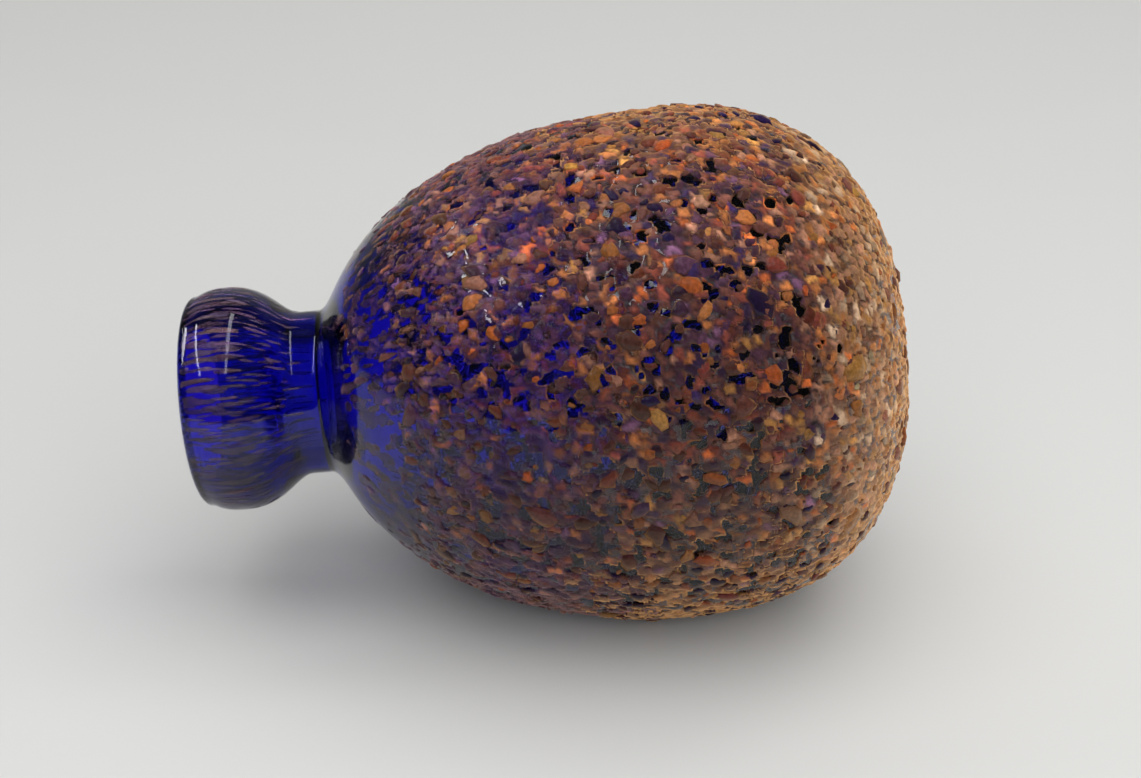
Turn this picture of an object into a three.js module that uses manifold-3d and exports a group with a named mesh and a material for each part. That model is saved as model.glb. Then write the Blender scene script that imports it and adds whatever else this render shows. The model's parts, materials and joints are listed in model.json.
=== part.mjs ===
// A blown glass perfume flask, lying on its side, in millimetres with +Z up.
// It is one hollow piece of glass: a round body, a short neck and a bulbous collar with an open mouth.
// The origin is the middle of the small flat it rests on. The mouth is towards -X and the base towards +X.
import * as THREE from "three";
import { mergeVertices } from "three/addons/utils/BufferGeometryUtils.js";
import Module from "manifold-3d";

// Driving dimensions. A station is a distance from the mouth plane along the flask's own axis, and a
// reach is how far a curve runs from its widest ring to where it would meet the axis.
const LENGTH = 83.5; // mouth plane to base
const BODY_RADIUS = 30; // at the widest ring of the body
const BODY_STATION = 56; // where the body is widest
const SHOULDER_REACH = 41.4;
const SHOULDER_FULLNESS = 2.1; // power of the curve: 2 is an ellipse, more is fuller
const HEEL_REACH = 28.1; // a little past the base, which is ground flat there
const HEEL_FULLNESS = 2.5;
const NECK_RADIUS = 9.7;
const COLLAR_RADIUS = 13.35; // at the widest ring of the collar
const COLLAR_STATION = 5; // where the collar is widest
const COLLAR_REACH = 9.8; // from that ring towards the neck
const LIP_REACH = 6.7; // from that ring towards the mouth
const LIP_FULLNESS = 3.1;
const COLLAR_FILLET = 1.9; // difference of radius over which the collar runs into the neck
const NECK_FILLET = 2.6; // the same where the neck runs into the shoulder

const BODY_WALL = 3; // the bubble of glass with its crust of crushed glass
const BASE_WALL = 6.5; // the thick glass left at the base
const BORE_RADIUS = 6.5; // inside the neck
const CUP_RADIUS = 9.9; // inside the widest ring of the collar
const CUP_REACH = 8.5; // from that ring towards the neck
const MOUTH_RADIUS = 8.4; // inside the rim
const INNER_FILLET = 3; // difference of radius over which the bore runs into its neighbours
const RIM_ROUND = 0.8; // radius of the rim's inner edge

const REST_CUT = 0.6; // depth of the small flat that the flask rests on

// How finely the curves are faceted.
const SEGMENTS = 48; // around the axis
const SAMPLE = 0.1; // step along the axis at which the curves are worked out
const SAG = 0.05; // most that a facet may lie inside its curve
const RIM_TURN = 30; // degrees of the rim's rounded edge to a facet
const MERGE = 1e-4; // points closer than this are one
const ELLIPSE = 2;

// How finely the resting pose is searched for, in radians.
const MOST_DIP = THREE.MathUtils.degToRad(30);
const DIP_STEP = THREE.MathUtils.degToRad(0.02);

// Radius, at a distance from its widest ring, of a curve of the superellipse family.
function bow(distance, reach, radius, fullness) {
  const share = Math.min(distance / reach, 1);
  return radius * (1 - share ** fullness) ** (1 / fullness);
}

// The larger of two radii, with the corner between them filled where they are closer than the fillet.
function blend(a, b, fillet) {
  const near = Math.max(fillet - Math.abs(a - b), 0) / fillet;
  return Math.max(a, b) + (near * near * fillet) / 4;
}

function outerRadius(station) {
  if (station >= BODY_STATION) {
    return bow(station - BODY_STATION, HEEL_REACH, BODY_RADIUS, HEEL_FULLNESS);
  }
  const shoulder = bow(BODY_STATION - station, SHOULDER_REACH, BODY_RADIUS, SHOULDER_FULLNESS);
  if (station < COLLAR_STATION) {
    const lip = bow(COLLAR_STATION - station, LIP_REACH, COLLAR_RADIUS, LIP_FULLNESS);
    return blend(shoulder, lip, NECK_FILLET);
  }
  const collar = bow(station - COLLAR_STATION, COLLAR_REACH, COLLAR_RADIUS, ELLIPSE);
  return blend(shoulder, blend(collar, NECK_RADIUS, COLLAR_FILLET), NECK_FILLET);
}

function innerRadius(station) {
  const radius = BODY_RADIUS - BODY_WALL;
  if (station >= BODY_STATION) {
    const reach = LENGTH - BASE_WALL - BODY_STATION;
    return bow(station - BODY_STATION, reach, radius, HEEL_FULLNESS);
  }
  const shoulder = bow(BODY_STATION - station, SHOULDER_REACH - BODY_WALL, radius, SHOULDER_FULLNESS);
  if (station < COLLAR_STATION) {
    const share = (COLLAR_STATION - station) / COLLAR_STATION;
    return blend(shoulder, CUP_RADIUS - (CUP_RADIUS - MOUTH_RADIUS) * share ** 2, INNER_FILLET);
  }
  const cup = bow(station - COLLAR_STATION, CUP_REACH, CUP_RADIUS, ELLIPSE);
  return blend(shoulder, blend(cup, BORE_RADIUS, INNER_FILLET), INNER_FILLET);
}

// Points (radius, station) of a curve between two stations, both ends included.
function curvePoints(radiusAt, from, to) {
  const steps = Math.ceil((to - from) / SAMPLE);
  const points = [];
  for (let i = 0; i <= steps; i++) {
    const station = from + ((to - from) * i) / steps;
    points.push(new THREE.Vector2(radiusAt(station), station));
  }
  return points;
}

// The fewest of a curve's points that keep it within SAG of the whole curve.
function thinned(points) {
  const first = points[0];
  const last = points[points.length - 1];
  const chord = last.clone().sub(first);
  let farthest = 0;
  let most = 0;
  points.forEach((point, i) => {
    const off = Math.abs(chord.cross(point.clone().sub(first))) / chord.length();
    if (off > most) {
      most = off;
      farthest = i;
    }
  });
  if (most <= SAG) {
    return [first, last];
  }
  return [...thinned(points.slice(0, farthest + 1)), ...thinned(points.slice(farthest)).slice(1)];
}

// Section of the inside, from the rim's flat over its rounded inner edge to the end of the cavity.
function insidePoints() {
  const points = [];
  for (let turn = 0; turn < 90; turn += RIM_TURN) {
    const angle = THREE.MathUtils.degToRad(turn);
    const radius = innerRadius(RIM_ROUND) + RIM_ROUND * (1 - Math.sin(angle));
    points.push(new THREE.Vector2(radius, RIM_ROUND * (1 - Math.cos(angle))));
  }
  return [...points, ...thinned(curvePoints(innerRadius, RIM_ROUND, LENGTH - BASE_WALL))];
}

// The hollow glass, standing on its mouth plane with its axis along +Y.
function vesselGeometry() {
  const outside = thinned(curvePoints(outerRadius, 0, LENGTH));
  const section = [...insidePoints().reverse(), ...outside, new THREE.Vector2(0, LENGTH)];
  return new THREE.LatheGeometry(section, SEGMENTS);
}

// Station of the centre of mass, from slices of the wall.
function balanceStation() {
  let mass = 0;
  let moment = 0;
  for (let station = SAMPLE / 2; station < LENGTH; station += SAMPLE) {
    const hollow = station < LENGTH - BASE_WALL ? innerRadius(station) : 0;
    const slice = outerRadius(station) ** 2 - hollow ** 2;
    mass += slice;
    moment += slice * station;
  }
  return moment / mass;
}

// How the flask comes to rest on its side: the dip of its mouth at which the centre of mass is lowest,
// the height of that centre above the lowest point, and the centre's station.
function restingPose() {
  const balance = balanceStation();
  const outline = curvePoints(outerRadius, 0, LENGTH);
  let best = { dip: 0, height: Infinity };
  for (let dip = -MOST_DIP; dip <= MOST_DIP; dip += DIP_STEP) {
    const drops = outline.map((p) => p.x * Math.cos(dip) - (p.y - balance) * Math.sin(dip));
    const height = Math.max(...drops);
    if (height < best.height) {
      best = { dip, height };
    }
  }
  return { ...best, balance };
}

// A closed geometry as a solid that can be cut.
function solidOf(geometry) {
  const bare = geometry.clone();
  bare.deleteAttribute("normal");
  bare.deleteAttribute("uv");
  const merged = mergeVertices(bare, MERGE);
  const vertProperties = merged.attributes.position.array;
  const triVerts = new Uint32Array(merged.index.array);
  return new wasm.Manifold(new wasm.Mesh({ numProp: 3, vertProperties, triVerts }));
}

function geometryOf(solid) {
  const mesh = solid.getMesh();
  const geometry = new THREE.BufferGeometry();
  geometry.setAttribute("position", new THREE.BufferAttribute(mesh.vertProperties, 3));
  geometry.setIndex(new THREE.BufferAttribute(mesh.triVerts, 1));
  geometry.computeVertexNormals();
  return geometry;
}

const wasm = await Module();
wasm.setup();

// Lay the flask down as it rests, with its centre of mass over the origin and its lowest point just
// below the ground, and cut the small flat there.
const pose = restingPose();
const axis = new THREE.Vector3(Math.cos(pose.dip), 0, Math.sin(pose.dip));
const laid = vesselGeometry().translate(0, -pose.balance, 0);
laid.applyQuaternion(new THREE.Quaternion().setFromUnitVectors(new THREE.Vector3(0, 1, 0), axis));
laid.translate(0, 0, pose.height - REST_CUT);

const ground = new THREE.BoxGeometry(2 * LENGTH, 4 * BODY_RADIUS, BODY_RADIUS);
ground.translate(0, 0, -BODY_RADIUS / 2);

// Cobalt glass rolled in crushed amber and brown glass.
const glass = new THREE.MeshStandardMaterial({ color: 0x4b3550, roughness: 0.25, metalness: 0 });
const flask = new THREE.Mesh(geometryOf(solidOf(laid).subtract(solidOf(ground))), glass);
flask.name = "flask";

const part = new THREE.Group();
part.add(flask);

export default part;
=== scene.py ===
"""A blown perfume flask of cobalt glass with a crust of crushed glass, dressed for a studio view."""

import json
import logging
import math
from dataclasses import dataclass, replace
from enum import Enum

import bmesh
import bpy
import numpy as np
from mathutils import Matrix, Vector
from mathutils.kdtree import KDTree

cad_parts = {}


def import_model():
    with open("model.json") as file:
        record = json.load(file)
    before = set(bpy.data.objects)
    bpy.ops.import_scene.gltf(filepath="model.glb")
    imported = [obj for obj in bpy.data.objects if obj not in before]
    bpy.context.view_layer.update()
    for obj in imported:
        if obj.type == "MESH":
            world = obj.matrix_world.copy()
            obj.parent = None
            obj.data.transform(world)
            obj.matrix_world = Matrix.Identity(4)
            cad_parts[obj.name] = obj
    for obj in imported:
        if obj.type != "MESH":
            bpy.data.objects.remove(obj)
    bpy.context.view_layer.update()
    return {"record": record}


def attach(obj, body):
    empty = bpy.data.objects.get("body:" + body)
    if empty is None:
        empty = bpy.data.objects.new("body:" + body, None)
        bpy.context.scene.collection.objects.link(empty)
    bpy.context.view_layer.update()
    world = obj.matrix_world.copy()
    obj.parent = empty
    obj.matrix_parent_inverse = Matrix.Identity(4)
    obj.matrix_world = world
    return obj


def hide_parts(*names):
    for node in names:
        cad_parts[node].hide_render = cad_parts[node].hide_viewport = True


LOG = logging.getLogger("flask")
MM = 0.001  # the sizes below are in millimetres, Blender's are in metres
FULL_TURN = 2.0 * math.pi
FLOOR_GAP = 0.02 * MM  # what lies on the floor is flattened just above it
PHOTO_WIDTH = 1141  # of the photograph, in pixels
CRUMB_TINT = "crumb_tint"  # name of the colours kept on the crumbs' meshes


def linear(hex_colour: str) -> tuple[float, float, float, float]:
    """Turn an sRGB hex colour into a linear one.

    Args:
        hex_colour: Six hex digits, such as "c8a15a".

    Returns:
        Linear red, green and blue, and an alpha of one.
    """
    shares = [int(hex_colour[i:i + 2], 16) / 255 for i in (0, 2, 4)]
    red, green, blue = [c / 12.92 if c <= 0.04045 else ((c + 0.055) / 1.055) ** 2.4 for c in shares]
    return (red, green, blue, 1.0)


def add_node(
    tree: bpy.types.NodeTree, kind: str, settings: dict | None = None, links: dict | None = None
) -> bpy.types.Node:
    """Add a node, set its properties and sockets, and link what feeds it.

    Args:
        tree: The node tree it goes in.
        kind: Blender's name for the kind of node.
        settings: Values by property name, or by the name or number of an input socket.
        links: Output sockets by the name or number of the input that each feeds.

    Returns:
        The new node.
    """
    node = tree.nodes.new(kind)
    for key, value in (settings or {}).items():
        if isinstance(key, str) and hasattr(node, key):
            setattr(node, key, value)
        else:
            node.inputs[key].default_value = value
    for key, socket in (links or {}).items():
        tree.links.new(socket, node.inputs[key])
    return node


def new_material(name: str) -> tuple[bpy.types.Material, bpy.types.NodeTree]:
    """Start an empty node material.

    Args:
        name: Its name.

    Returns:
        The material and its node tree.
    """
    material = bpy.data.materials.new(name)
    material.use_nodes = True
    material.node_tree.nodes.clear()
    return material, material.node_tree


@dataclass(frozen=True)
class FirePolishedGlass:
    """Soda-lime glass, blown and fire polished.

    The flame leaves the skin as smooth as a liquid's, so it shows hard, bright reflections, with only
    the slow ripples of hand work in them. It has a faint straw tint of its own.
    """

    ior: float = 1.47
    roughness: float = 0.045
    ripple_mm: float = 7.0
    ripple_height_mm: float = 0.05
    tint: str = "f4efe9"
    haze_density: float = 30.0

    def material(self) -> bpy.types.Material:
        """Make the glass.

        Returns:
            The material.
        """
        made, tree = new_material("clear_soda_glass")
        place = add_node(tree, "ShaderNodeTexCoord")
        ripple = add_node(
            tree, "ShaderNodeTexNoise",
            {"Scale": 1.0 / (self.ripple_mm * MM), "Detail": 2.0, "Roughness": 0.45},
            {"Vector": place.outputs["Object"]},
        )
        bump = add_node(
            tree, "ShaderNodeBump",
            {"Strength": 0.6, "Distance": self.ripple_height_mm * MM},
            {"Height": ripple.outputs[0]},
        )
        shader = add_node(
            tree, "ShaderNodeBsdfPrincipled",
            {
                "Base Color": linear("ffffff"),
                "Transmission Weight": 1.0,
                "IOR": self.ior,
                "Roughness": self.roughness,
            },
            {"Normal": bump.outputs[0]},
        )
        absorb = add_node(
            tree, "ShaderNodeVolumeAbsorption", {"Color": linear(self.tint), "Density": self.haze_density}
        )
        add_node(
            tree, "ShaderNodeOutputMaterial", None,
            {"Surface": shader.outputs[0], "Volume": absorb.outputs[0]},
        )
        return made


@dataclass(frozen=True)
class CobaltGlass:
    """Glass coloured through with cobalt.

    Cobalt takes out red and green and lets blue and a little violet pass, so a thin wall is a bright
    royal blue and a thick or doubled one is nearly black. It lies inside the clear glass and is one
    body with it, so there is no step of refraction between the two.
    """

    tint: str = "8040f2"
    density: float = 2300.0
    ior: float = 1.0
    cord_mm: float = 4.0  # width of the faint cords left from melting

    def material(self) -> bpy.types.Material:
        """Make the layer.

        Returns:
            The material.
        """
        made, tree = new_material("cobalt_glass")
        place = add_node(tree, "ShaderNodeTexCoord")
        cords = add_node(
            tree, "ShaderNodeTexNoise",
            {"Scale": 1.0 / (self.cord_mm * MM)},
            {"Vector": place.outputs["Object"]},
        )
        shade = add_node(tree, "ShaderNodeValToRGB", None, {"Fac": cords.outputs[0]})
        shade.color_ramp.elements[0].color = linear("f2f0ff")
        shade.color_ramp.elements[1].color = linear("ffffff")
        shader = add_node(
            tree, "ShaderNodeBsdfPrincipled",
            {"Transmission Weight": 1.0, "IOR": self.ior, "Roughness": 0.0, "Specular IOR Level": 0.0},
            {"Base Color": shade.outputs[0]},
        )
        absorb = add_node(
            tree, "ShaderNodeVolumeAbsorption", {"Color": linear(self.tint), "Density": self.density}
        )
        add_node(
            tree, "ShaderNodeOutputMaterial", None,
            {"Surface": shader.outputs[0], "Volume": absorb.outputs[0]},
        )
        return made


@dataclass(frozen=True)
class CrushedGlass:
    """Crushed coloured glass, picked up hot and fused on.

    Each crumb is one colour, rounded by the heat but still angular, and waxy: light goes a little way
    in, and its skin is half glossy. Light that comes through the thin edges of the crumbs warms the
    flask's limbs, which the sheen gives. The colour is kept on the mesh, crumb by crumb.
    """

    name: str
    roughness: float = 0.2
    body: float = 1.0  # how opaque it is
    sheen: float = 1.0
    sheen_tint: str = "ffc07a"
    sheen_roughness: float = 0.48
    mottle_mm: float = 0.45  # size of the cloudy spots within a crumb
    pit_mm: float = 0.1  # depth of the pits in its skin

    def material(self) -> bpy.types.Material:
        """Make the crumbs' glass.

        Returns:
            The material.
        """
        made, tree = new_material(self.name)
        place = add_node(tree, "ShaderNodeTexCoord")
        colour = add_node(tree, "ShaderNodeAttribute", {"attribute_name": CRUMB_TINT})
        mottle = add_node(
            tree, "ShaderNodeTexNoise",
            {"Scale": 1.0 / (self.mottle_mm * MM), "Detail": 3.0, "Roughness": 0.6},
            {"Vector": place.outputs["Object"]},
        )
        shade = add_node(
            tree, "ShaderNodeMapRange",
            {"From Min": 0.3, "From Max": 0.7, "To Min": 0.55, "To Max": 1.25},
            {"Value": mottle.outputs[0]},
        )
        dyed = add_node(
            tree, "ShaderNodeVectorMath", {"operation": "SCALE"},
            {0: colour.outputs["Color"], "Scale": shade.outputs[0]},
        )
        bump = add_node(
            tree, "ShaderNodeBump",
            {"Strength": 0.8, "Distance": self.pit_mm * MM},
            {"Height": mottle.outputs[0]},
        )
        shader = add_node(
            tree, "ShaderNodeBsdfPrincipled",
            {
                "IOR": 1.5,
                "Roughness": self.roughness,
                "Specular IOR Level": 0.25,
                "Sheen Weight": self.sheen,
                "Sheen Roughness": self.sheen_roughness,
                "Sheen Tint": linear(self.sheen_tint),
                "Alpha": self.body,
            },
            {"Base Color": dyed.outputs[0], "Normal": bump.outputs[0]},
        )
        add_node(tree, "ShaderNodeOutputMaterial", None, {"Surface": shader.outputs[0]})
        return made


class CrumbGlass(Enum):
    """The kinds of crushed glass, by how they lie on the flask."""

    FUSED = CrushedGlass("crushed_amber_glass")
    LOOSE = CrushedGlass("loose_amber_glass", sheen=0.3)
    DUSKY = CrushedGlass("crushed_mauve_glass", body=0.7, sheen=0.85, sheen_tint="c89890")
    DRAWN = CrushedGlass("drawn_amber_glass", body=0.55, sheen=0.35, sheen_tint="a890a0")


def bow(distance: np.ndarray, reach: float, radius: float, fullness: float) -> np.ndarray:
    """Radius of a superellipse curve.

    Args:
        distance: Distances along the axis from the curve's widest ring.
        reach: Where along the axis it would meet the axis.
        radius: Its widest radius.
        fullness: Its power: 2 is an ellipse, more is fuller.

    Returns:
        The radii.
    """
    share = np.clip(distance / reach, 0.0, 1.0)
    return radius * (1.0 - share ** fullness) ** (1.0 / fullness)


def blend(one: np.ndarray, other: np.ndarray, fillet: float) -> np.ndarray:
    """The larger of two radii, with the corner between them filled.

    Args:
        one: Radii of one curve.
        other: Radii of the other.
        fillet: Difference of radius over which they run together.

    Returns:
        The joined radii.
    """
    near = np.clip(fillet - np.abs(one - other), 0.0, None) / fillet
    return np.maximum(one, other) + near * near * fillet / 4.0


@dataclass(frozen=True)
class Section:
    """A surface of the flask, as a radius at each station, the distance from the mouth plane."""

    body_radius: float = 30.0
    body_station: float = 56.0
    shoulder_reach: float = 41.4
    shoulder_fullness: float = 2.1
    heel_reach: float = 28.1
    heel_fullness: float = 2.5
    neck_radius: float = 9.7
    collar_radius: float = 13.35
    collar_station: float = 5.0
    collar_reach: float = 9.8
    lip_reach: float = 6.7
    lip_fullness: float = 3.1
    collar_fillet: float = 1.9
    neck_fillet: float = 2.6
    end: float = 83.5

    def radius(self, station: np.ndarray) -> np.ndarray:
        """Radii at some stations.

        Args:
            station: The stations.

        Returns:
            A radius for each.
        """
        station = np.asarray(station, dtype=float)
        before = self.body_station - station
        shoulder = bow(np.abs(before), self.shoulder_reach, self.body_radius, self.shoulder_fullness)
        heel = bow(np.abs(before), self.heel_reach, self.body_radius, self.heel_fullness)
        off = station - self.collar_station
        lip = bow(np.abs(off), self.lip_reach, self.collar_radius, self.lip_fullness)
        collar = bow(np.abs(off), self.collar_reach, self.collar_radius, 2.0)
        stem = np.where(off < 0, lip, blend(collar, np.full_like(off, self.neck_radius), self.collar_fillet))
        return np.where(before > 0, blend(shoulder, stem, self.neck_fillet), heel)

    def grown(self, by: float) -> "Section":
        """The same surface moved outwards.

        Args:
            by: How far, in millimetres, or inwards if it is less than zero.

        Returns:
            The moved surface.
        """
        return replace(
            self,
            body_radius=self.body_radius + by,
            shoulder_reach=self.shoulder_reach + by,
            heel_reach=self.heel_reach + by,
            neck_radius=self.neck_radius + by,
            collar_radius=self.collar_radius + by,
            end=self.end + by,
        )

    def stations(self, start: float, step: float) -> np.ndarray:
        """Stations from the mouth's end to the base, closer together where the surface turns in.

        Args:
            start: The first station.
            step: Step along the neck and shoulder, in millimetres.

        Returns:
            The stations.
        """
        straight = np.arange(start, self.body_station, step)
        count = int((self.end - self.body_station) / step)
        reach = self.end - self.body_station
        turning = self.body_station + reach * np.sin(np.linspace(0.0, math.pi / 2, count))
        return np.concatenate([straight, turning])


@dataclass(frozen=True)
class Placing:
    """Where the flask lies: its mouth's centre and the directions along and across its axis."""

    mouth: np.ndarray
    along: np.ndarray
    side: np.ndarray
    up: np.ndarray

    @classmethod
    def from_record(cls, record: dict, length: float) -> "Placing":
        """Read the axis from the flat base's mount.

        Args:
            record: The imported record.
            length: Mouth plane to base, in millimetres.

        Returns:
            The placing.
        """
        base = next(m for m in record["mounts"] if m["name"] == "base")
        along = np.array(base["axis"], float)
        along /= np.linalg.norm(along)
        side = np.array([0.0, 1.0, 0.0])
        mouth = np.array(base["pos_m"], float) - along * length * MM
        return cls(mouth, along, side, np.cross(along, side))

    def points(self, station: np.ndarray, turn: np.ndarray, radius: np.ndarray) -> np.ndarray:
        """Points around the axis, in metres.

        Args:
            station: Distances from the mouth plane, in millimetres.
            turn: Angles round the axis, from the side away from the viewer.
            radius: Distances from the axis, in millimetres.

        Returns:
            Their places, one row each.
        """
        place = self.mouth + np.multiply.outer(station * MM, self.along)
        place = place + (radius * np.cos(turn) * MM)[..., None] * self.side
        place = place + (radius * np.sin(turn) * MM)[..., None] * self.up
        place[..., 2] = np.maximum(place[..., 2], FLOOR_GAP)
        return place


def hand_waver(station: np.ndarray, turn: np.ndarray) -> np.ndarray:
    """How far the hand-blown surface strays from a true turned one.

    Args:
        station: Distances from the mouth plane, in millimetres.
        turn: Angles round the axis.

    Returns:
        Radial differences, in millimetres.
    """
    weight = np.clip((station - 16.0) / 20.0, 0.04, 1.0) * np.clip((86.0 - station) / 8.0, 0.0, 1.0)
    oval = 0.16 * np.sin(2 * turn + 0.9)
    lobe = 0.10 * np.sin(3 * turn + 0.13 * station + 1.0)
    swell = 0.08 * np.sin(0.31 * station + turn)
    return weight * (oval + lobe + swell)


def soft_noise(places: np.ndarray, shortest: float, longest: float, seed: int) -> np.ndarray:
    """Smooth noise in space, as a sum of waves in all directions.

    Args:
        places: Points in millimetres, one row each.
        shortest: Shortest wavelength.
        longest: Longest wavelength.
        seed: Which noise.

    Returns:
        Values about zero, seldom beyond one.
    """
    waves = 18
    rng = np.random.default_rng(seed)
    total = np.zeros(places.shape[:-1])
    for _ in range(waves):
        wave = rng.normal(size=3)
        wave *= FULL_TURN / rng.uniform(shortest, longest) / np.linalg.norm(wave)
        total += np.sin(places @ wave + rng.uniform(0.0, FULL_TURN))
    return total / math.sqrt(waves)


def round_places(station: np.ndarray, turn: np.ndarray, radius: np.ndarray) -> np.ndarray:
    """Points around the flask's own axis, in millimetres.

    Args:
        station: Distances from the mouth plane.
        turn: Angles round the axis.
        radius: Distances from the axis.

    Returns:
        Their places, one row each.
    """
    return np.stack([station, radius * np.cos(turn), radius * np.sin(turn)], axis=-1)


def crust_swell(station: np.ndarray, turn: np.ndarray, radius: np.ndarray) -> np.ndarray:
    """How far the glass over the crumbs swells and sinks.

    Args:
        station: Distances from the mouth plane, in millimetres.
        turn: Angles round the axis.
        radius: Distances from the axis, in millimetres.

    Returns:
        Radial differences, in millimetres.
    """
    height = 0.05 + 0.08 * np.clip((station - 32.0) / 30.0, 0.0, 1.0)
    height = height * np.clip((station - 20.0) / 8.0, 0.0, 1.0)
    return height * 1.3 * soft_noise(round_places(station, turn, radius), 1.3, 3.2, 5)


def painted_light_and_shade(station: np.ndarray, turn: np.ndarray) -> np.ndarray:
    """Painted light and shade round the axis: the crumbs are coloured lighter on the upper side, as light
    from above falls on it, and darker in front.

    Args:
        station: Distances from the mouth plane, in millimetres.
        turn: Angles round the axis.

    Returns:
        Factors for their colours.
    """
    heights = (-1.0, -0.6, -0.15, 0.4, 0.88, 1.0)  # from the underside to the top
    factors = (0.95, 0.8, 0.62, 0.92, 1.75, 1.9)
    fades = np.clip((76.0 - station) / 10.0, 0.0, 1.0)
    return 1.0 + fades * (np.interp(np.sin(turn), heights, factors) - 1.0)


def mesh_object(name: str, points: np.ndarray, faces: list | np.ndarray) -> bpy.types.Object:
    """Make a smooth-shaded mesh object.

    Args:
        name: Its name.
        points: Vertex places, one row each.
        faces: Vertex numbers of each face.

    Returns:
        The object, linked to the scene.
    """
    mesh = bpy.data.meshes.new(name)
    mesh.from_pydata(points.tolist(), [], [list(map(int, f)) for f in faces])
    mesh.validate()
    mesh.polygons.foreach_set("use_smooth", [True] * len(mesh.polygons))
    mesh.update()
    made = bpy.data.objects.new(name, mesh)
    bpy.context.scene.collection.objects.link(made)
    return made


def turned_shell(
    name: str, placing: Placing, stations: list[np.ndarray], radii: list[np.ndarray], segments: int,
    swells: list[bool],
) -> bpy.types.Object:
    """Revolve a closed section, given from the base's middle over the rim to the cavity's middle.

    Args:
        name: The object's name.
        placing: Where the flask lies.
        stations: Runs of stations that follow each other.
        radii: The radii that go with them.
        segments: Steps around the axis.
        swells: Which runs lie over the crumbs.

    Returns:
        The closed shell.
    """
    over = np.concatenate([np.full(len(run), swell) for run, swell in zip(stations, swells)])
    station = np.concatenate(stations)
    radius = np.concatenate(radii)
    first, last = station[0], station[-1]
    rows = len(station) - 2
    turn = np.arange(segments) * FULL_TURN / segments
    grid_s = np.repeat(station[1:-1, None], segments, axis=1)
    grid_t = np.repeat(turn[None, :], rows, axis=0)
    grid_r = radius[1:-1, None] + hand_waver(grid_s, grid_t) * np.clip(radius[1:-1, None] / 6.0, 0, 1)
    grid_r = grid_r + np.where(over[1:-1, None], crust_swell(grid_s, grid_t, radius[1:-1, None]), 0.0)
    ring = placing.points(grid_s.ravel(), grid_t.ravel(), grid_r.ravel())
    poles = placing.points(np.array([first, last]), np.zeros(2), np.zeros(2))
    points = np.concatenate([ring, poles])
    base_pole, cavity_pole = rows * segments, rows * segments + 1
    faces = []
    for j in range(segments):
        k = (j + 1) % segments
        faces.append((base_pole, j, k))
        low = (rows - 1) * segments
        faces.append((cavity_pole, low + k, low + j))
        for i in range(rows - 1):
            a, b = i * segments, (i + 1) * segments
            faces.append((a + j, b + j, b + k, a + k))
    return mesh_object(name, points, faces)


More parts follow.
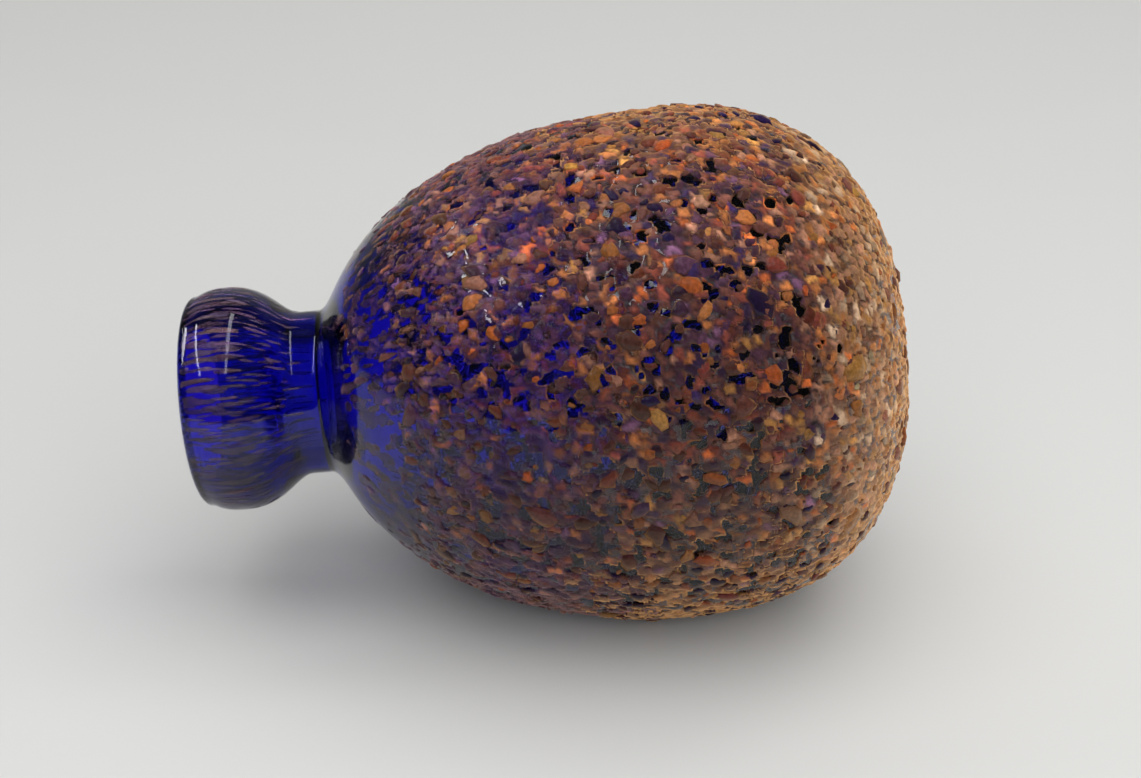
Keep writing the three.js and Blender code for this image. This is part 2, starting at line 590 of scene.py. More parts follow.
@dataclass
class Vessel:
    """The blown flask: clear glass through the wall, with the cobalt bubble inside it."""

    placing: Placing
    outside: Section
    inside: Section
    crust_sink: float = 0.12  # how far the glass over the crumbs lies under the outermost tops
    rim_reach: float = 1.3  # how far back from the mouth plane the rim's round runs
    collar_casing: float = 0.9  # clear glass over the cobalt of the collar
    neck_casing: float = 0.6  # and of the neck
    bubble_wall: float = 1.2  # cobalt of the shoulder
    base_thicker: float = 1.4  # how much more there is on the body and base
    thin_bands: tuple = (  # stations, and how much clear glass lies inside the cobalt there
        (0.0, 7.4, 8.6, 9.6, 10.6, 12.0, 12.8, 16.0, 17.2, 20.5),
        (0.3, 0.3, 0.9, 0.3, 0.0, 0.0, 0.7, 0.7, 0.0, 0.0),
    )
    segments: int = 300
    step: float = 0.6

    def glass_radius(self, station: np.ndarray) -> np.ndarray:
        """Radii of the glass between the crumbs.

        Args:
            station: Distances from the mouth plane, in millimetres.

        Returns:
            The radii: the outer surface, sunk where the crust stands proud.
        """
        proud = np.clip((station - 22.0) / 12.0, 0.0, 1.0)
        return np.maximum(self.outside.radius(station) - self.crust_sink * proud, 0.0)

    def rim_round(self, out_r: float, in_r: float, reach: float) -> tuple[np.ndarray, np.ndarray]:
        """A half-round edge from the outside to the inside.

        Args:
            out_r: Outer radius where it starts.
            in_r: Inner radius where it ends.
            reach: Its depth along the axis.

        Returns:
            Stations and radii, without the two ends.
        """
        angle = np.linspace(0.0, math.pi, 15)[1:-1]
        middle, half = (out_r + in_r) / 2, (out_r - in_r) / 2
        square = 0.75  # under one is squarer than a half circle
        radius = middle + half * np.sign(np.cos(angle)) * np.abs(np.cos(angle)) ** square
        return reach * (1 - np.sin(angle) ** square), radius

    def build_glass(self, material: bpy.types.Material) -> bpy.types.Object:
        """Make the flask's clear wall.

        Args:
            material: Its finish.

        Returns:
            The closed vessel.
        """
        out_s = self.outside.stations(self.rim_reach, self.step)
        out_s = np.unique(np.minimum(out_s, self.outside.end - self.crust_sink * 0.4))[::-1]
        in_s = self.inside.stations(self.rim_reach, 1.7 * self.step)  # the inside is smooth
        out_r, in_r = self.glass_radius(out_s), self.inside.radius(in_s)
        rim_s, rim_r = self.rim_round(float(out_r[-1]), float(in_r[0]), self.rim_reach)
        made = turned_shell(
            "flask_glass", self.placing,
            [out_s[:1], out_s, rim_s, in_s], [np.zeros(1), out_r, rim_r, in_r], self.segments,
            [False, True, False, False],
        )
        made.data.materials.append(material)
        return made

    def build_cobalt(self, material: bpy.types.Material) -> bpy.types.Object:
        """Make the cobalt layer within the wall.

        Args:
            material: Its finish.

        Returns:
            The closed layer.
        """
        skin = 0.06
        lining = self.inside.grown(skin)
        layer = replace(
            self.inside.grown(self.bubble_wall),
            neck_radius=self.outside.neck_radius - self.neck_casing,
            collar_radius=self.outside.collar_radius - self.collar_casing,
            collar_reach=self.outside.collar_reach,
            lip_reach=self.outside.lip_reach,
            lip_fullness=self.outside.lip_fullness,
            collar_fillet=self.outside.collar_fillet,
        )
        start = 0.9
        out_s = layer.stations(start, self.step)[::-1]
        in_s = lining.stations(start, self.step * 0.5)
        thicker = np.interp(out_s, [40.0, 62.0], [0.0, self.base_thicker])
        out_r = np.minimum(layer.radius(out_s) + thicker, self.outside.radius(out_s) - self.neck_casing)
        in_r = lining.radius(in_s) + np.interp(in_s, *self.thin_bands)
        rim_s, rim_r = self.rim_round(float(out_r[-1]), float(in_r[0]), start * 0.6)
        made = turned_shell(
            "flask_cobalt_bubble", self.placing,
            [out_s, rim_s + start * 0.4, in_s], [out_r, rim_r, in_r], self.segments // 2,
            [False, False, False],
        )
        made.data.materials.append(material)
        return made


class SkinPath:
    """The run of a surface's section from near the mouth to the middle of the base, by length."""

    def __init__(self, section: Section, start: float) -> None:
        """Measure the run.

        Args:
            section: The surface.
            start: Station at which it starts.
        """
        step = 0.1
        station = section.stations(start, step)
        radius = section.radius(station)
        disc = np.arange(radius[-1] - step, 0.0, -step)
        self.station = np.concatenate([station, np.full_like(disc, section.end)])
        self.radius = np.concatenate([radius, disc])
        ds, dr = np.diff(self.station), np.diff(self.radius)
        self.length = np.concatenate([[0.0], np.cumsum(np.hypot(ds, dr))])
        slope_s, slope_r = np.gradient(self.station, self.length), np.gradient(self.radius, self.length)
        size = np.hypot(slope_s, slope_r)
        self.out_s, self.out_r = -slope_r / size, slope_s / size

    def at(self, length: np.ndarray, lift: np.ndarray | float) -> tuple[np.ndarray, np.ndarray]:
        """Points above the surface.

        Args:
            length: Distances along the run, in millimetres.
            lift: Heights over the surface.

        Returns:
            Their stations and radii.
        """
        station = np.interp(length, self.length, self.station)
        radius = np.interp(length, self.length, self.radius)
        out_s = np.interp(length, self.length, self.out_s)
        out_r = np.interp(length, self.length, self.out_r)
        return station + lift * out_s, radius + lift * out_r

    def length_at(self, station: float) -> float:
        """Distance along the run at a station before the base."""
        return float(np.interp(station, self.station, self.length))

    def spread(self, start: float, end: float, per_mm2: float, rng: np.random.Generator) -> np.ndarray:
        """Places spread evenly over a band of the surface, off a regular grid.

        Args:
            start: Distance along the run where the band starts.
            end: Distance where it ends.
            per_mm2: Places in each square millimetre.
            rng: The source of chance.

        Returns:
            Rows of a distance along the run and a turn about the axis.
        """
        fine = np.linspace(start, end, 800)
        ring = FULL_TURN * np.interp(fine, self.length, self.radius)
        area = np.concatenate([[0.0], np.cumsum((ring[1:] + ring[:-1]) / 2 * np.diff(fine))])
        count = int(area[-1] * per_mm2)
        golden = math.pi * (3.0 - math.sqrt(5.0))  # the turn from one place to the next
        along = np.interp((np.arange(count) + 0.5) / count * area[-1], area, fine)
        turn = np.arange(count) * golden
        gap = 0.42 / math.sqrt(per_mm2)  # a little under half of the usual spacing
        ring_here = np.maximum(np.interp(along, self.length, self.radius), gap)
        along = along + rng.uniform(-gap, gap, count)
        turn = turn + rng.uniform(-gap, gap, count) / ring_here
        return np.stack([np.clip(along, self.length[0], self.length[-1]), turn], axis=1)


class Dye(Enum):
    """Colours of the crushed glass."""

    AMBER = "744322"
    ORANGE = "843e1a"
    OCHRE = "7a5228"
    TAN = "6e4a3a"
    BRICK = "52241c"
    BROWN = "422420"
    MAUVE = "462c42"
    PALE = "86705c"
    SMOKE = "281424"
    NIGHT = "100828"
    DUSK = "62486a"
    DUST = "70545c"


WARM = (  # dyes of the body, and their shares
    (Dye.AMBER, 2.0), (Dye.ORANGE, 0.8), (Dye.OCHRE, 0.5), (Dye.TAN, 1.0), (Dye.BRICK, 2.4),
    (Dye.BROWN, 3.6), (Dye.MAUVE, 0.5), (Dye.SMOKE, 2.0), (Dye.NIGHT, 1.6),
)
COOL = (  # of the shoulder
    (Dye.TAN, 1.4), (Dye.AMBER, 1.0), (Dye.BROWN, 2.0),
    (Dye.MAUVE, 4.6), (Dye.BRICK, 0.8), (Dye.SMOKE, 1.2),
)
LIGHT = (  # of the base
    (Dye.TAN, 4.0), (Dye.PALE, 2.6), (Dye.AMBER, 2.6),
    (Dye.OCHRE, 0.8), (Dye.ORANGE, 0.4), (Dye.BROWN, 0.2),
)
DRAWN = ((Dye.DUSK, 4.0), (Dye.DUST, 2.5), (Dye.MAUVE, 1.5))  # and of the streaks in the collar


def pick_dyes(dyes: tuple[tuple[Dye, float], ...], count: int, rng: np.random.Generator) -> np.ndarray:
    """Pick a dye for each of some crumbs.

    Args:
        dyes: The dyes and their shares.
        count: How many crumbs there are.
        rng: The source of chance.

    Returns:
        Linear colours.
    """
    shares = np.array([share for _, share in dyes])
    table = np.array([linear(dye.value)[:3] for dye, _ in dyes])
    return table[rng.choice(len(dyes), size=count, p=shares / shares.sum())]


def keep_tints(made: bpy.types.Object, tints: np.ndarray) -> None:
    """Keep colours on a mesh.

    Args:
        made: The piece.
        tints: A linear colour for each of its points.
    """
    rgba = np.concatenate([tints, np.ones((len(tints), 1))], axis=1)
    layer = made.data.color_attributes.new(CRUMB_TINT, "FLOAT_COLOR", "POINT")
    layer.data.foreach_set("color", rgba.astype(np.float32).ravel())


@dataclass(frozen=True)
class CrumbBatch:
    """One kind of crumb on one band of the body."""

    name: str
    start: float  # station where the band starts
    end: float  # and ends; past the base it takes in the whole base
    size: float  # usual width, in millimetres
    stretch: float  # length over width
    flatness: float  # height over width
    cover: float  # share of the surface that they cover
    lift: float  # height of their middles over the glass between them
    aligned: float  # how much they follow the flask's axis, from 0 to 1
    dyes: tuple[tuple[Dye, float], ...]
    glass: CrumbGlass
    seed: int


@dataclass
class Crust:
    """The separate crumbs on the body, and those drawn out to streaks in the collar."""

    placing: Placing
    path: SkinPath
    buried: str = "1c1240"  # what shows through a crumb's foot, from the cobalt under it
    facets: int = 7  # flats struck on each crumb
    size_spread: float = 0.34
    tip_spread: float = 0.16  # how unevenly they lie
    sink_spread: float = 0.08  # how unevenly they are sunk in, in millimetres
    tone_spread: float = 0.22
    hue_spread: float = 0.07

    def pebble(self, count: int, rng: np.random.Generator) -> tuple[np.ndarray, np.ndarray]:
        """Rounded, angular crumbs of unit size.

        Args:
            count: How many.
            rng: The source of chance.

        Returns:
            Points by crumb and vertex, and the faces that all share.
        """
        work = bmesh.new()
        bmesh.ops.create_cube(work, size=2.0)
        bmesh.ops.subdivide_edges(work, edges=work.edges[:], cuts=1, use_grid_fill=True)
        work.verts.index_update()
        unit = np.array([v.co.normalized()[:] for v in work.verts])
        faces = np.array([[v.index for v in f.verts] for f in work.faces])
        work.free()
        planes = rng.normal(size=(count, self.facets, 3))
        planes /= np.linalg.norm(planes, axis=2, keepdims=True)
        depth = rng.uniform(0.5, 1.0, (count, self.facets, 1))
        facing = np.clip(np.einsum("vx,nkx->nkv", unit, planes), 0.0, None) / depth
        power = 9.0
        size = (1.0 + np.sum(facing ** power, axis=1)) ** (-1.0 / power)
        around = np.arctan2(unit[:, 1], unit[:, 0])[None]
        phase = rng.uniform(0.0, FULL_TURN, (3, count, 1))
        lobes = sum(
            depth * np.sin(times * around + start)
            for depth, times, start in zip((0.16, 0.14, 0.10), (2, 3, 5), phase)
        )
        shape = unit[None] * size[..., None]
        shape[..., :2] *= (1.0 + lobes)[..., None]
        return shape, faces

    def build(self, batch: CrumbBatch, material: bpy.types.Material) -> bpy.types.Object:
        """Make one batch as one mesh.

        Args:
            batch: What and where.
            material: Its finish.

        Returns:
            The crumbs.
        """
        rng = np.random.default_rng(batch.seed)
        start = self.path.length_at(batch.start)
        end = self.path.length[-1] if batch.end >= self.path.station[-1] else self.path.length_at(batch.end)
        footprint = math.pi / 4 * batch.size ** 2 * batch.stretch
        spots = self.path.spread(start, end, batch.cover / footprint, rng)
        count = len(spots)
        shape, faces = self.pebble(count, rng)
        width = batch.size * np.exp(rng.normal(0.0, self.size_spread, count)) / 2
        length = width * batch.stretch * rng.uniform(0.8, 1.25, count)
        height = width * batch.flatness * rng.uniform(0.8, 1.2, count)
        local = shape * np.stack([length, width, height], axis=1)[:, None, :]
        spin = rng.uniform(-math.pi / 2, math.pi / 2, count) * (1.0 - batch.aligned)
        tip = rng.normal(0.0, self.tip_spread / batch.stretch, count)
        cos, sin = np.cos(spin)[:, None], np.sin(spin)[:, None]
        along = local[..., 0] * cos - local[..., 1] * sin
        across = local[..., 0] * sin + local[..., 1] * cos
        sunk = batch.lift + rng.normal(0.0, self.sink_spread, count)
        lift = local[..., 2] + tip[:, None] * along + sunk[:, None]
        station, radius = self.path.at(spots[:, :1] + along, lift)
        turn = np.broadcast_to(spots[:, 1:], station.shape)
        radius = radius + hand_waver(station, turn)
        place = self.placing.points(station, turn, radius)
        sideways = np.sin(turn)[..., None] * self.placing.side - np.cos(turn)[..., None] * self.placing.up
        place = place + across[..., None] * MM * sideways
        place[..., 2] = np.maximum(place[..., 2], FLOOR_GAP)
        offsets = np.arange(count) * shape.shape[1]
        numbers = faces[None] + offsets[:, None, None]
        made = mesh_object(batch.name, place.reshape(-1, 3), numbers.reshape(-1, faces.shape[1]))
        # painted light on the upper side and painted shade in front, as factors for the crumbs' colours
        light = painted_light_and_shade(np.interp(spots[:, 0], self.path.length, self.path.station), spots[:, 1])
        self.dye(made, batch, shape, light, rng)
        made.data.materials.append(material)
        return made

    def dye(
        self, made: bpy.types.Object, batch: CrumbBatch, shape: np.ndarray, light: np.ndarray,
        rng: np.random.Generator,
    ) -> None:
        """Keep each crumb's colour on the mesh, with painted light and shade round the axis, and darker and
        bluer at its foot.

        Args:
            made: The crumbs.
            batch: Their batch.
            shape: Their unit shapes, for which end is the foot.
            light: How light each is painted: lighter on the upper side and darker in front, as painted light
                and shade.
            rng: The source of chance.
        """
        count = len(shape)
        colours = pick_dyes(batch.dyes, count, rng)
        colours = colours * np.exp(rng.normal(0.0, self.tone_spread, (count, 1)))
        colours = colours * np.exp(rng.normal(0.0, self.hue_spread, (count, 3)))
        # painted light and shade: lighter on top, darker in front
        colours = colours * light[:, None]
        foot = np.clip(0.35 - shape[..., 2], 0.0, 1.0)[..., None] * 0.5
        tint = colours[:, None, :] * (1 - foot) + np.array(linear(self.buried)[:3]) * foot
        keep_tints(made, tint.reshape(-1, 3))


@dataclass(frozen=True)
class ScatteredCrumbs:
    """Where the crumbs of the sheet lie, and what each is like."""

    middle: np.ndarray  # their middles, on the surface unrolled as FusedCrust.unrolled does it
    kept: np.ndarray  # which were picked up; clear glass shows in place of the others
    tint: np.ndarray  # linear colours
    raised: np.ndarray  # how much higher than usual each stands, in millimetres
    slope: np.ndarray  # how each top is tilted
    home: np.ndarray  # the station that gives a crumb to one band or to its neighbour
    tree: KDTree  # finds the crumbs nearest to a point


@dataclass(frozen=True)
class FusedBand:
    """A band of the sheet, made as one mesh."""

    name: str
    start: float  # station where it starts
    end: float  # and ends; past the base it takes in the whole base
    glass: CrumbGlass


@dataclass
class FusedCrust:
    """The sheet of crumbs that have run together, with clear glass where none was picked up."""

    placing: Placing
    path: SkinPath
    start: float = 20.0  # station where the first crumbs lie
    crumb: float = 1.3  # usual width of a crumb
    packing: float = 1.15  # crumbs on a square of that width
    grid: float = 0.36  # spacing of the mesh
    pole_gap: float = 0.4  # how far from the middle of the base it ends
    depth: float = 0.4  # of the sheet under the outermost tops, on the shoulder
    base_depth: float = 0.2  # and on the body
    dome: float = 0.3  # height of a crumb over the seams round it
    dome_rim: float = 0.55  # breadth over which it rises
    side: float = 0.5  # depth to which a crumb's side shows beside clear glass
    bend: float = 0.26  # how far the seams stray from straight
    height_spread: float = 0.07
    tilt_spread: float = 0.13
    tone_spread: float = 0.32
    drawn: float = 0.7  # how much longer than wide they are where they were drawn most
    drawn_end: float = 44.0  # station where the drawing out ends
    drawn_fade: float = 22.0  # and over how many millimetres it does
    cool_end: float = 46.0  # station where the cool crumbs of the shoulder end
    cool_fade: float = 20.0
    light_start: float = 70.0  # station where the light crumbs of the base set in
    light_fade: float = 6.0
    light_share: float = 0.97  # how many of the crumbs of the base are light
    upper_cover: float = 0.14  # how much closer the crumbs lie on the upper side
    home_spread: float = 3.5  # how unevenly the crumbs are shared out between two bands
    spill: float = 9.0  # how far past its ends a band's mesh goes, to hold its crumbs whole
    core: float = 1.6  # how much lighter the thick middle of a crumb is than its dye
    rim_tone: float = 0.08  # share of its own colour that it keeps at the seam
    seam_breadth: float = 0.6  # breadth over which the seam's colour fades
    covers: tuple = (  # stations, and the share of the surface that crumbs cover there
        (18.0, 22.0, 28.0, 36.0, 50.0, 62.0, 67.0, 72.0, 76.0),
        (0.2, 0.32, 0.52, 0.66, 0.74, 0.76, 0.7, 0.88, 1.0),
    )
    seams: tuple = (  # stations, and what shows between crumbs: dark violet, near black, then brown
        (0.0, 34.0, 54.0, 71.0, 76.0),
        ("180a44", "180a44", "1c0c22", "1c0c22", "745642"),
    )
    seed: int = 21

    def stretch(self, station: np.ndarray) -> np.ndarray:
        """How many times longer than wide the crumbs were drawn."""
        return 1.0 + self.drawn * np.clip((self.drawn_end - station) / self.drawn_fade, 0.0, 1.0)

    def unrolled(self, length: np.ndarray, turn: np.ndarray) -> np.ndarray:
        """Places on the surface with the drawn part pushed together, so that all crumbs are as long as wide.

        Args:
            length: Distances along the run.
            turn: Angles round the axis.

        Returns:
            The places.
        """
        step = 0.2
        fine = np.arange(0.0, self.path.length[-1], step)
        station = np.interp(fine, self.path.length, self.path.station)
        along = np.concatenate([[0.0], np.cumsum(step / self.stretch(station[:-1]))])
        radius = np.interp(length, self.path.length, self.path.radius)
        return round_places(np.interp(length, fine, along), turn, radius)

    def colours(self, station: np.ndarray, rng: np.random.Generator) -> np.ndarray:
        """Pick a colour for each crumb: cool ones on the shoulder, warm on the body and light on the base.

        Args:
            station: Where the crumbs lie.
            rng: The source of chance.

        Returns:
            Linear colours.
        """
        made = np.zeros((len(station), 3))
        odds = rng.uniform(0.0, 1.0, len(station))
        light = odds < np.clip((station - self.light_start) / self.light_fade, 0.0, self.light_share)
        cool = odds > 1.0 - np.clip((self.cool_end - station) / self.cool_fade, 0.0, 1.0)
        for chosen, dyes in ((light, LIGHT), (cool, COOL), (~light & ~cool, WARM)):
            made[chosen] = pick_dyes(dyes, int(chosen.sum()), rng)
        return made * np.exp(rng.normal(0.0, self.tone_spread, (len(station), 1)))

    def laid(self, length: np.ndarray, turn: np.ndarray, lift: np.ndarray) -> np.ndarray:
        """Points over the flask's surface.

        Args:
            length: Distances along the run.
            turn: Angles round the axis.
            lift: Heights over the outermost tops.

        Returns:
            Their places, in metres.
        """
        station, radius = self.path.at(length, lift)
        radius = np.maximum(radius + hand_waver(station, turn), 0.0)
        return self.placing.points(station, turn, radius)

    def scatter(self) -> ScatteredCrumbs:
        """Place the crumbs of the whole sheet, and pick their colours, heights and slopes.

        Returns:
            The crumbs, for the bands to share out.
        """
        rng = np.random.default_rng(self.seed)
        first, last = self.path.length_at(self.start), self.path.length[-1]
        spots = self.path.spread(first, last, self.packing / self.crumb ** 2, rng)
        count, turn = len(spots), spots[:, 1]
        station = np.interp(spots[:, 0], self.path.length, self.path.station)
        thick = self.upper_cover * np.clip((np.sin(turn) - 0.5) / 0.4, 0.0, 1.0)
        kept = rng.uniform(size=count) < np.interp(station, *self.covers) + thick
        # the colours carry painted light on the upper side and painted shade in front
        tint = self.colours(station, rng) * painted_light_and_shade(station, turn)[:, None]
        raised = rng.normal(0.0, self.height_spread, count)
        slope = rng.normal(0.0, self.tilt_spread, (count, 3))
        farthest = 2.0 * self.home_spread
        stray = np.clip(rng.normal(0.0, self.home_spread, count), -farthest, farthest)
        middle = self.unrolled(spots[:, 0], turn)
        tree = KDTree(count)
        for number, place in enumerate(middle):
            tree.insert(place, number)
        tree.balance()
        home = np.maximum(station + stray, self.start)
        return ScatteredCrumbs(middle, kept, tint, raised, slope, home, tree)

    def mesh_grid(self, band: FusedBand) -> tuple[np.ndarray, np.ndarray]:
        """Lay out the grid of a band's mesh, past its ends on both sides.

        Args:
            band: The band.

        Returns:
            Distances along the run and angles round the axis.
        """
        first = self.path.length_at(max(band.start - self.spill, self.start))
        last = min(self.path.length_at(band.end + self.spill), self.path.length[-1] - self.pole_gap)
        length = np.linspace(first, last, int((last - first) / self.grid))
        widest = np.interp(length, self.path.length, self.path.radius).max()
        columns = int(FULL_TURN * widest / self.grid)
        grid_l = np.repeat(length[:, None], columns, axis=1)
        return grid_l, np.broadcast_to(np.arange(columns) * FULL_TURN / columns, grid_l.shape)

    def trimmed(
        self, length: np.ndarray, turn: np.ndarray, kept: np.ndarray, reach: np.ndarray
    ) -> tuple[np.ndarray, np.ndarray]:
        """Draw points that lie just past the sheet's edges back to them.

        Args:
            length: Distances along the run, on the grid.
            turn: Angles round the axis, on the grid.
            kept: Which points lie on the sheet.
            reach: How far each point is from the edge of its crumb.

        Returns:
            The distances and angles, moved.
        """
        ring = np.maximum(np.interp(length, self.path.length, self.path.radius), 0.5)
        wide = FULL_TURN / length.shape[1] * ring
        count = np.zeros(length.shape)
        pull = np.zeros(length.shape + (2,))
        padded = np.pad(kept, ((1, 1), (0, 0)))
        for down in (-1, 0, 1):
            for across in (-1, 0, 1):
                near = np.roll(padded[1 + down:len(padded) - 1 + down], -across, axis=1)
                count += near
                pull[..., 0] += near * down * self.grid
                pull[..., 1] += near * across * wide
        pull /= np.maximum(count, 1.0)[..., None]
        size = np.maximum(np.linalg.norm(pull, axis=-1), 1e-6)
        farthest = 1.4  # of the pull, about a step across the grid's corner
        share = np.where(kept | (count == 0), 0.0, np.minimum(reach / size, farthest))
        return length + share * pull[..., 0], turn + share * pull[..., 1] / ring

    def shades(self, tint: np.ndarray, seam: np.ndarray, station: np.ndarray) -> np.ndarray:
        """Mix each crumb's colour with that of the seams round it.

        Args:
            tint: Colours of the crumbs that the points belong to.
            seam: How far inside their crumbs the points lie.
            station: Distances from the mouth plane.

        Returns:
            Linear colours.
        """
        own = (self.rim_tone + (1.0 - self.rim_tone) * np.clip(seam / self.seam_breadth, 0.0, 1.0))[:, None]
        where, tints = self.seams
        parts = zip(*[linear(hex_colour)[:3] for hex_colour in tints])
        between = np.stack([np.interp(station, where, part) for part in parts], axis=1)
        return self.core * tint * own + between * (1.0 - own)

    def faces(self, kept: np.ndarray) -> np.ndarray:
        """Join the grid's points to a sheet, with walls along its edges and holes.

        Args:
            kept: Which points of the grid lie on the sheet.

        Returns:
            Vertex numbers by face; the feet of the walls are numbered on after the grid.
        """
        rows, columns = kept.shape
        row = np.arange(rows - 1)[:, None] * columns
        column = np.arange(columns)[None, :]
        after = (column + 1) % columns
        quads = np.stack([row + column, row + columns + column, row + columns + after, row + after], axis=-1)
        quads = quads.reshape(-1, 4)
        quads = quads[kept.ravel()[quads].any(axis=1)]
        edges = np.stack([quads.ravel(), np.roll(quads, -1, axis=1).ravel()], axis=1)
        total = kept.size
        open_edge = ~np.isin(edges @ (total, 1), edges @ (1, total))
        tail, tip = edges[open_edge].T
        return np.concatenate([quads, np.stack([tip, tail, tail + total, tip + total], axis=1)])

    def build(
        self, band: FusedBand, crumbs: ScatteredCrumbs, material: bpy.types.Material
    ) -> bpy.types.Object:
        """Make one band of the sheet.

        Two bands share the crumbs between them out one by one, by their homes, so that no straight line
        shows where one kind of glass ends and the other starts.

        Args:
            band: What and where.
            crumbs: The crumbs of the whole sheet.
            material: Its finish.

        Returns:
            The band, each crumb with its own colour.
        """
        grid_l, grid_t = self.mesh_grid(band)
        places = self.unrolled(grid_l, grid_t).reshape(-1, 3)
        stray = np.stack([soft_noise(places, 0.9, 2.6, number) for number in (31, 32, 33)], axis=1)
        bent = places + self.bend * stray
        nearest = [crumbs.tree.find_n(place, 2) for place in bent]
        owner = np.array([found[0][1] for found in nearest])
        seam = np.array([found[1][2] - found[0][2] for found in nearest])
        home = crumbs.home[owner]
        kept = crumbs.kept[owner] & (home >= band.start) & (home < band.end)
        kept = kept.reshape(grid_l.shape)

        swell = np.clip(seam / self.dome_rim, 0.0, 1.0)
        swell = swell * (2.0 - swell)
        station = np.interp(grid_l, self.path.length, self.path.station).ravel()
        depth = np.interp(station, [21.0, 32.0], [self.depth, self.base_depth])
        slant = np.sum(crumbs.slope[owner] * (bent - crumbs.middle[owner]), axis=1)
        lift = -depth + (self.dome + crumbs.raised[owner] + slant) * swell
        edge_l, edge_t = self.trimmed(grid_l, grid_t, kept, seam.reshape(grid_l.shape) / 2)
        points = [self.laid(edge_l.ravel(), edge_t.ravel(), height) for height in (lift, lift - self.side)]

        used, numbers = np.unique(self.faces(kept), return_inverse=True)
        made = mesh_object(band.name, np.concatenate(points)[used], numbers.reshape(-1, 4))
        shades = self.shades(crumbs.tint[owner], seam, station)
        keep_tints(made, np.concatenate([shades, shades])[used])
        made.data.materials.append(material)
        return made


class LampUse(Enum):
    """What a lamp is for."""

    LIGHT = "lights the flask, and isn't mirrored in it"
    STREAK = "is mirrored as a thin streak, and hardly lights anything"


@dataclass(frozen=True)
class Lamp:
    """A soft rectangular light, with its place, its size and the point it faces in metres."""

    name: str
    place: tuple[float, float, float]
    size: tuple[float, float]
    watts: float
    aim: tuple[float, float, float]
    use: LampUse


LAMPS = (
    Lamp("tent_roof", (0.1, -0.24, 0.55), (1.1, 1.0), 6.8, (0.0, 0.0, 0.0), LampUse.LIGHT),
    Lamp("tube_lamp_0", (-0.275, -0.04, 0.3), (0.4, 0.024), 0.3, (-0.03, -0.04, 0.0), LampUse.STREAK),
    Lamp("tube_lamp_1", (-0.04, -0.04, 0.3), (0.4, 0.024), 0.12, (-0.03, -0.04, 0.0), LampUse.STREAK),
    Lamp("front_fill", (0.05, -0.75, 0.35), (0.9, 0.35), 2.0, (0.0, 0.0, 0.0), LampUse.LIGHT),
    Lamp("backdrop", (0.0, 0.45, 0.9), (1.6, 0.4), 5.2, (0.0, 0.9, 0.0), LampUse.LIGHT),
)


@dataclass
class Studio:
    """A plain pale sweep of paper, soft light from above and the camera."""

    placing: Placing
    elevation: float = 24.0  # degrees that the camera looks down
    focal_px: float = 2200.0  # focal length in pixels of the photograph
    mouth_right: float = -44.55  # the mouth's centre, from the camera, in millimetres
    mouth_down: float = 1.52
    mouth_ahead: float = 263.7

    def camera(self) -> None:
        """Set the camera where the photograph was taken from."""
        lean = math.radians(self.elevation)
        ahead = np.array([0.0, math.cos(lean), -math.sin(lean)])
        down = np.array([0.0, -math.sin(lean), -math.cos(lean)])
        right = np.array([1.0, 0.0, 0.0])
        offset = self.mouth_right * right + self.mouth_down * down + self.mouth_ahead * ahead
        data = bpy.data.cameras.new("camera")
        data.sensor_width = 36.0
        data.lens = self.focal_px / PHOTO_WIDTH * data.sensor_width
        data.clip_start, data.clip_end = 0.005, 20.0
        made = bpy.data.objects.new("camera", data)
        made.location = Vector(self.placing.mouth - offset * MM)
        made.rotation_euler = (math.pi / 2 - lean, 0.0, 0.0)
        bpy.context.scene.collection.objects.link(made)
        bpy.context.scene.camera = made

    def sweep(self) -> bpy.types.Object:
        """Make the paper sweep: a floor that turns up into a wall behind.

        Returns:
            The sweep.
        """
        half, back, bend, top = 2.5, 1.6, 0.5, 2.5
        profile = [(-0.9, 0.0), (back - bend, 0.0)]
        for i in range(1, 13):
            angle = i / 12 * math.pi / 2
            profile.append((back - bend + bend * math.sin(angle), bend * (1 - math.cos(angle))))
        profile.append((back, top))
        points = np.array([(x, y, z) for y, z in profile for x in (-half, half)])
        faces = [(2 * i, 2 * i + 1, 2 * i + 3, 2 * i + 2) for i in range(len(profile) - 1)]
        made = mesh_object("paper_sweep", points, faces)
        material, tree = new_material("matt_paper")
        place = add_node(tree, "ShaderNodeTexCoord")
        tooth = add_node(
            tree, "ShaderNodeTexNoise", {"Scale": 900.0, "Detail": 2.0}, {"Vector": place.outputs["Object"]}
        )
        bump = add_node(
            tree, "ShaderNodeBump", {"Strength": 0.05, "Distance": 0.05 * MM}, {"Height": tooth.outputs[0]}
        )
        shader = add_node(
            tree, "ShaderNodeBsdfPrincipled",
            {"Base Color": linear("cececc"), "Roughness": 0.6, "Specular IOR Level": 0.3},
            {"Normal": bump.outputs[0]},
        )
        add_node(tree, "ShaderNodeOutputMaterial", None, {"Surface": shader.outputs[0]})
        made.data.materials.append(material)
        return made

    def hang(self, lamp: Lamp) -> None:
        """Hang a lamp.

        Args:
            lamp: What, where and how bright.
        """
        data = bpy.data.lights.new(lamp.name, "AREA")
        data.shape = "RECTANGLE"
        data.size, data.size_y = lamp.size
        data.energy = lamp.watts
        made = bpy.data.objects.new(lamp.name, data)
        made.location = lamp.place
        made.rotation_euler = (Vector(lamp.aim) - Vector(lamp.place)).to_track_quat("-Z", "Y").to_euler()
        bpy.context.scene.collection.objects.link(made)
        if lamp.use is LampUse.LIGHT:
            made.visible_glossy = False
        else:
            made.visible_diffuse = False
            made.visible_transmission = False

    def lights(self) -> None:
        """Light the flask softly from above, with a dim room all around."""
        for lamp in LAMPS:
            self.hang(lamp)
        world = bpy.data.worlds.new("room")
        world.use_nodes = True
        shade = world.node_tree.nodes["Background"]
        shade.inputs["Color"].default_value = linear("f4f5f8")
        shade.inputs["Strength"].default_value = 0.05
        bpy.context.scene.world = world
        bpy.context.scene.view_settings.view_transform = "Standard"

    def build(self) -> None:
        """Set up the whole studio."""
        self.camera()
        self.lights()
        self.sweep()


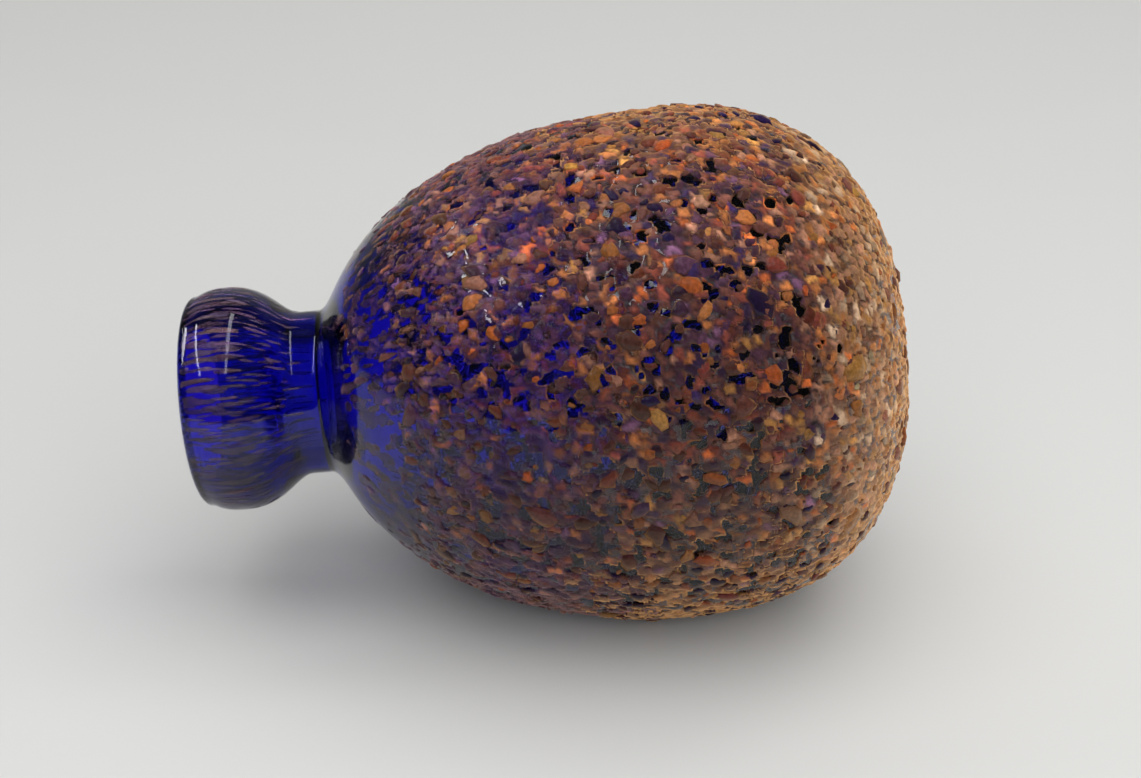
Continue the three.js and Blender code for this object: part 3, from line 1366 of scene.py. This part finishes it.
BATCHES = (
    CrumbBatch("streaks_lip", 0.8, 7.0, 0.5, 7.0, 0.25, 0.85, -0.15, 1.0, DRAWN, CrumbGlass.DRAWN, 10),
    CrumbBatch("streaks_collar", 6.0, 13.0, 0.36, 7.0, 0.25, 0.3, -0.2, 1.0, DRAWN, CrumbGlass.DRAWN, 11),
    CrumbBatch("crust_fringe", 19.5, 33.0, 0.8, 2.2, 0.35, 0.28, -0.2, 0.9, COOL, CrumbGlass.DUSKY, 15),
    CrumbBatch("crust_breast", 26.0, 48.0, 1.2, 1.35, 0.45, 0.28, -0.22, 0.45, WARM, CrumbGlass.LOOSE, 12),
    CrumbBatch("crust_belly", 47.0, 76.0, 1.3, 1.25, 0.45, 0.3, -0.1, 0.15, WARM, CrumbGlass.LOOSE, 13),
    CrumbBatch("crust_heel", 75.0, 99.0, 1.2, 1.2, 0.5, 0.3, -0.1, 0.0, LIGHT, CrumbGlass.LOOSE, 14),
)
FUSED_BANDS = (
    FusedBand("crust_fused_shoulder", 20.0, 48.0, CrumbGlass.DUSKY),
    FusedBand("crust_fused_body", 48.0, 65.0, CrumbGlass.FUSED),
    FusedBand("crust_fused_base", 65.0, 99.0, CrumbGlass.FUSED),
)


def main() -> None:
    """Build the flask and its studio, and report each piece."""
    logging.basicConfig(level=logging.INFO)
    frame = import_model()
    wall = 3.0
    outside = Section()
    inside = replace(
        outside.grown(-wall),
        neck_radius=6.5, collar_radius=9.9, collar_reach=8.5, lip_reach=9.4, lip_fullness=2.0,
        collar_fillet=3.0, neck_fillet=3.0, heel_reach=21.0, end=77.0,
    )
    placing = Placing.from_record(frame["record"], outside.end)
    vessel = Vessel(placing, outside, inside)
    pieces = [
        vessel.build_glass(FirePolishedGlass().material()),
        vessel.build_cobalt(CobaltGlass().material()),
    ]
    glasses = {kind: kind.value.material() for kind in CrumbGlass}
    path = SkinPath(outside, start=0.6)
    fused = FusedCrust(placing, path)
    crumbs = fused.scatter()
    pieces += [fused.build(band, crumbs, glasses[band.glass]) for band in FUSED_BANDS]
    crust = Crust(placing, path)
    pieces += [crust.build(batch, glasses[batch.glass]) for batch in BATCHES]
    for piece in pieces:
        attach(piece, "root")
        LOG.info("%s: %d faces", piece.name, len(piece.data.polygons))
    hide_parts("flask")
    Studio(placing).build()


if __name__ == "__main__":
    main()
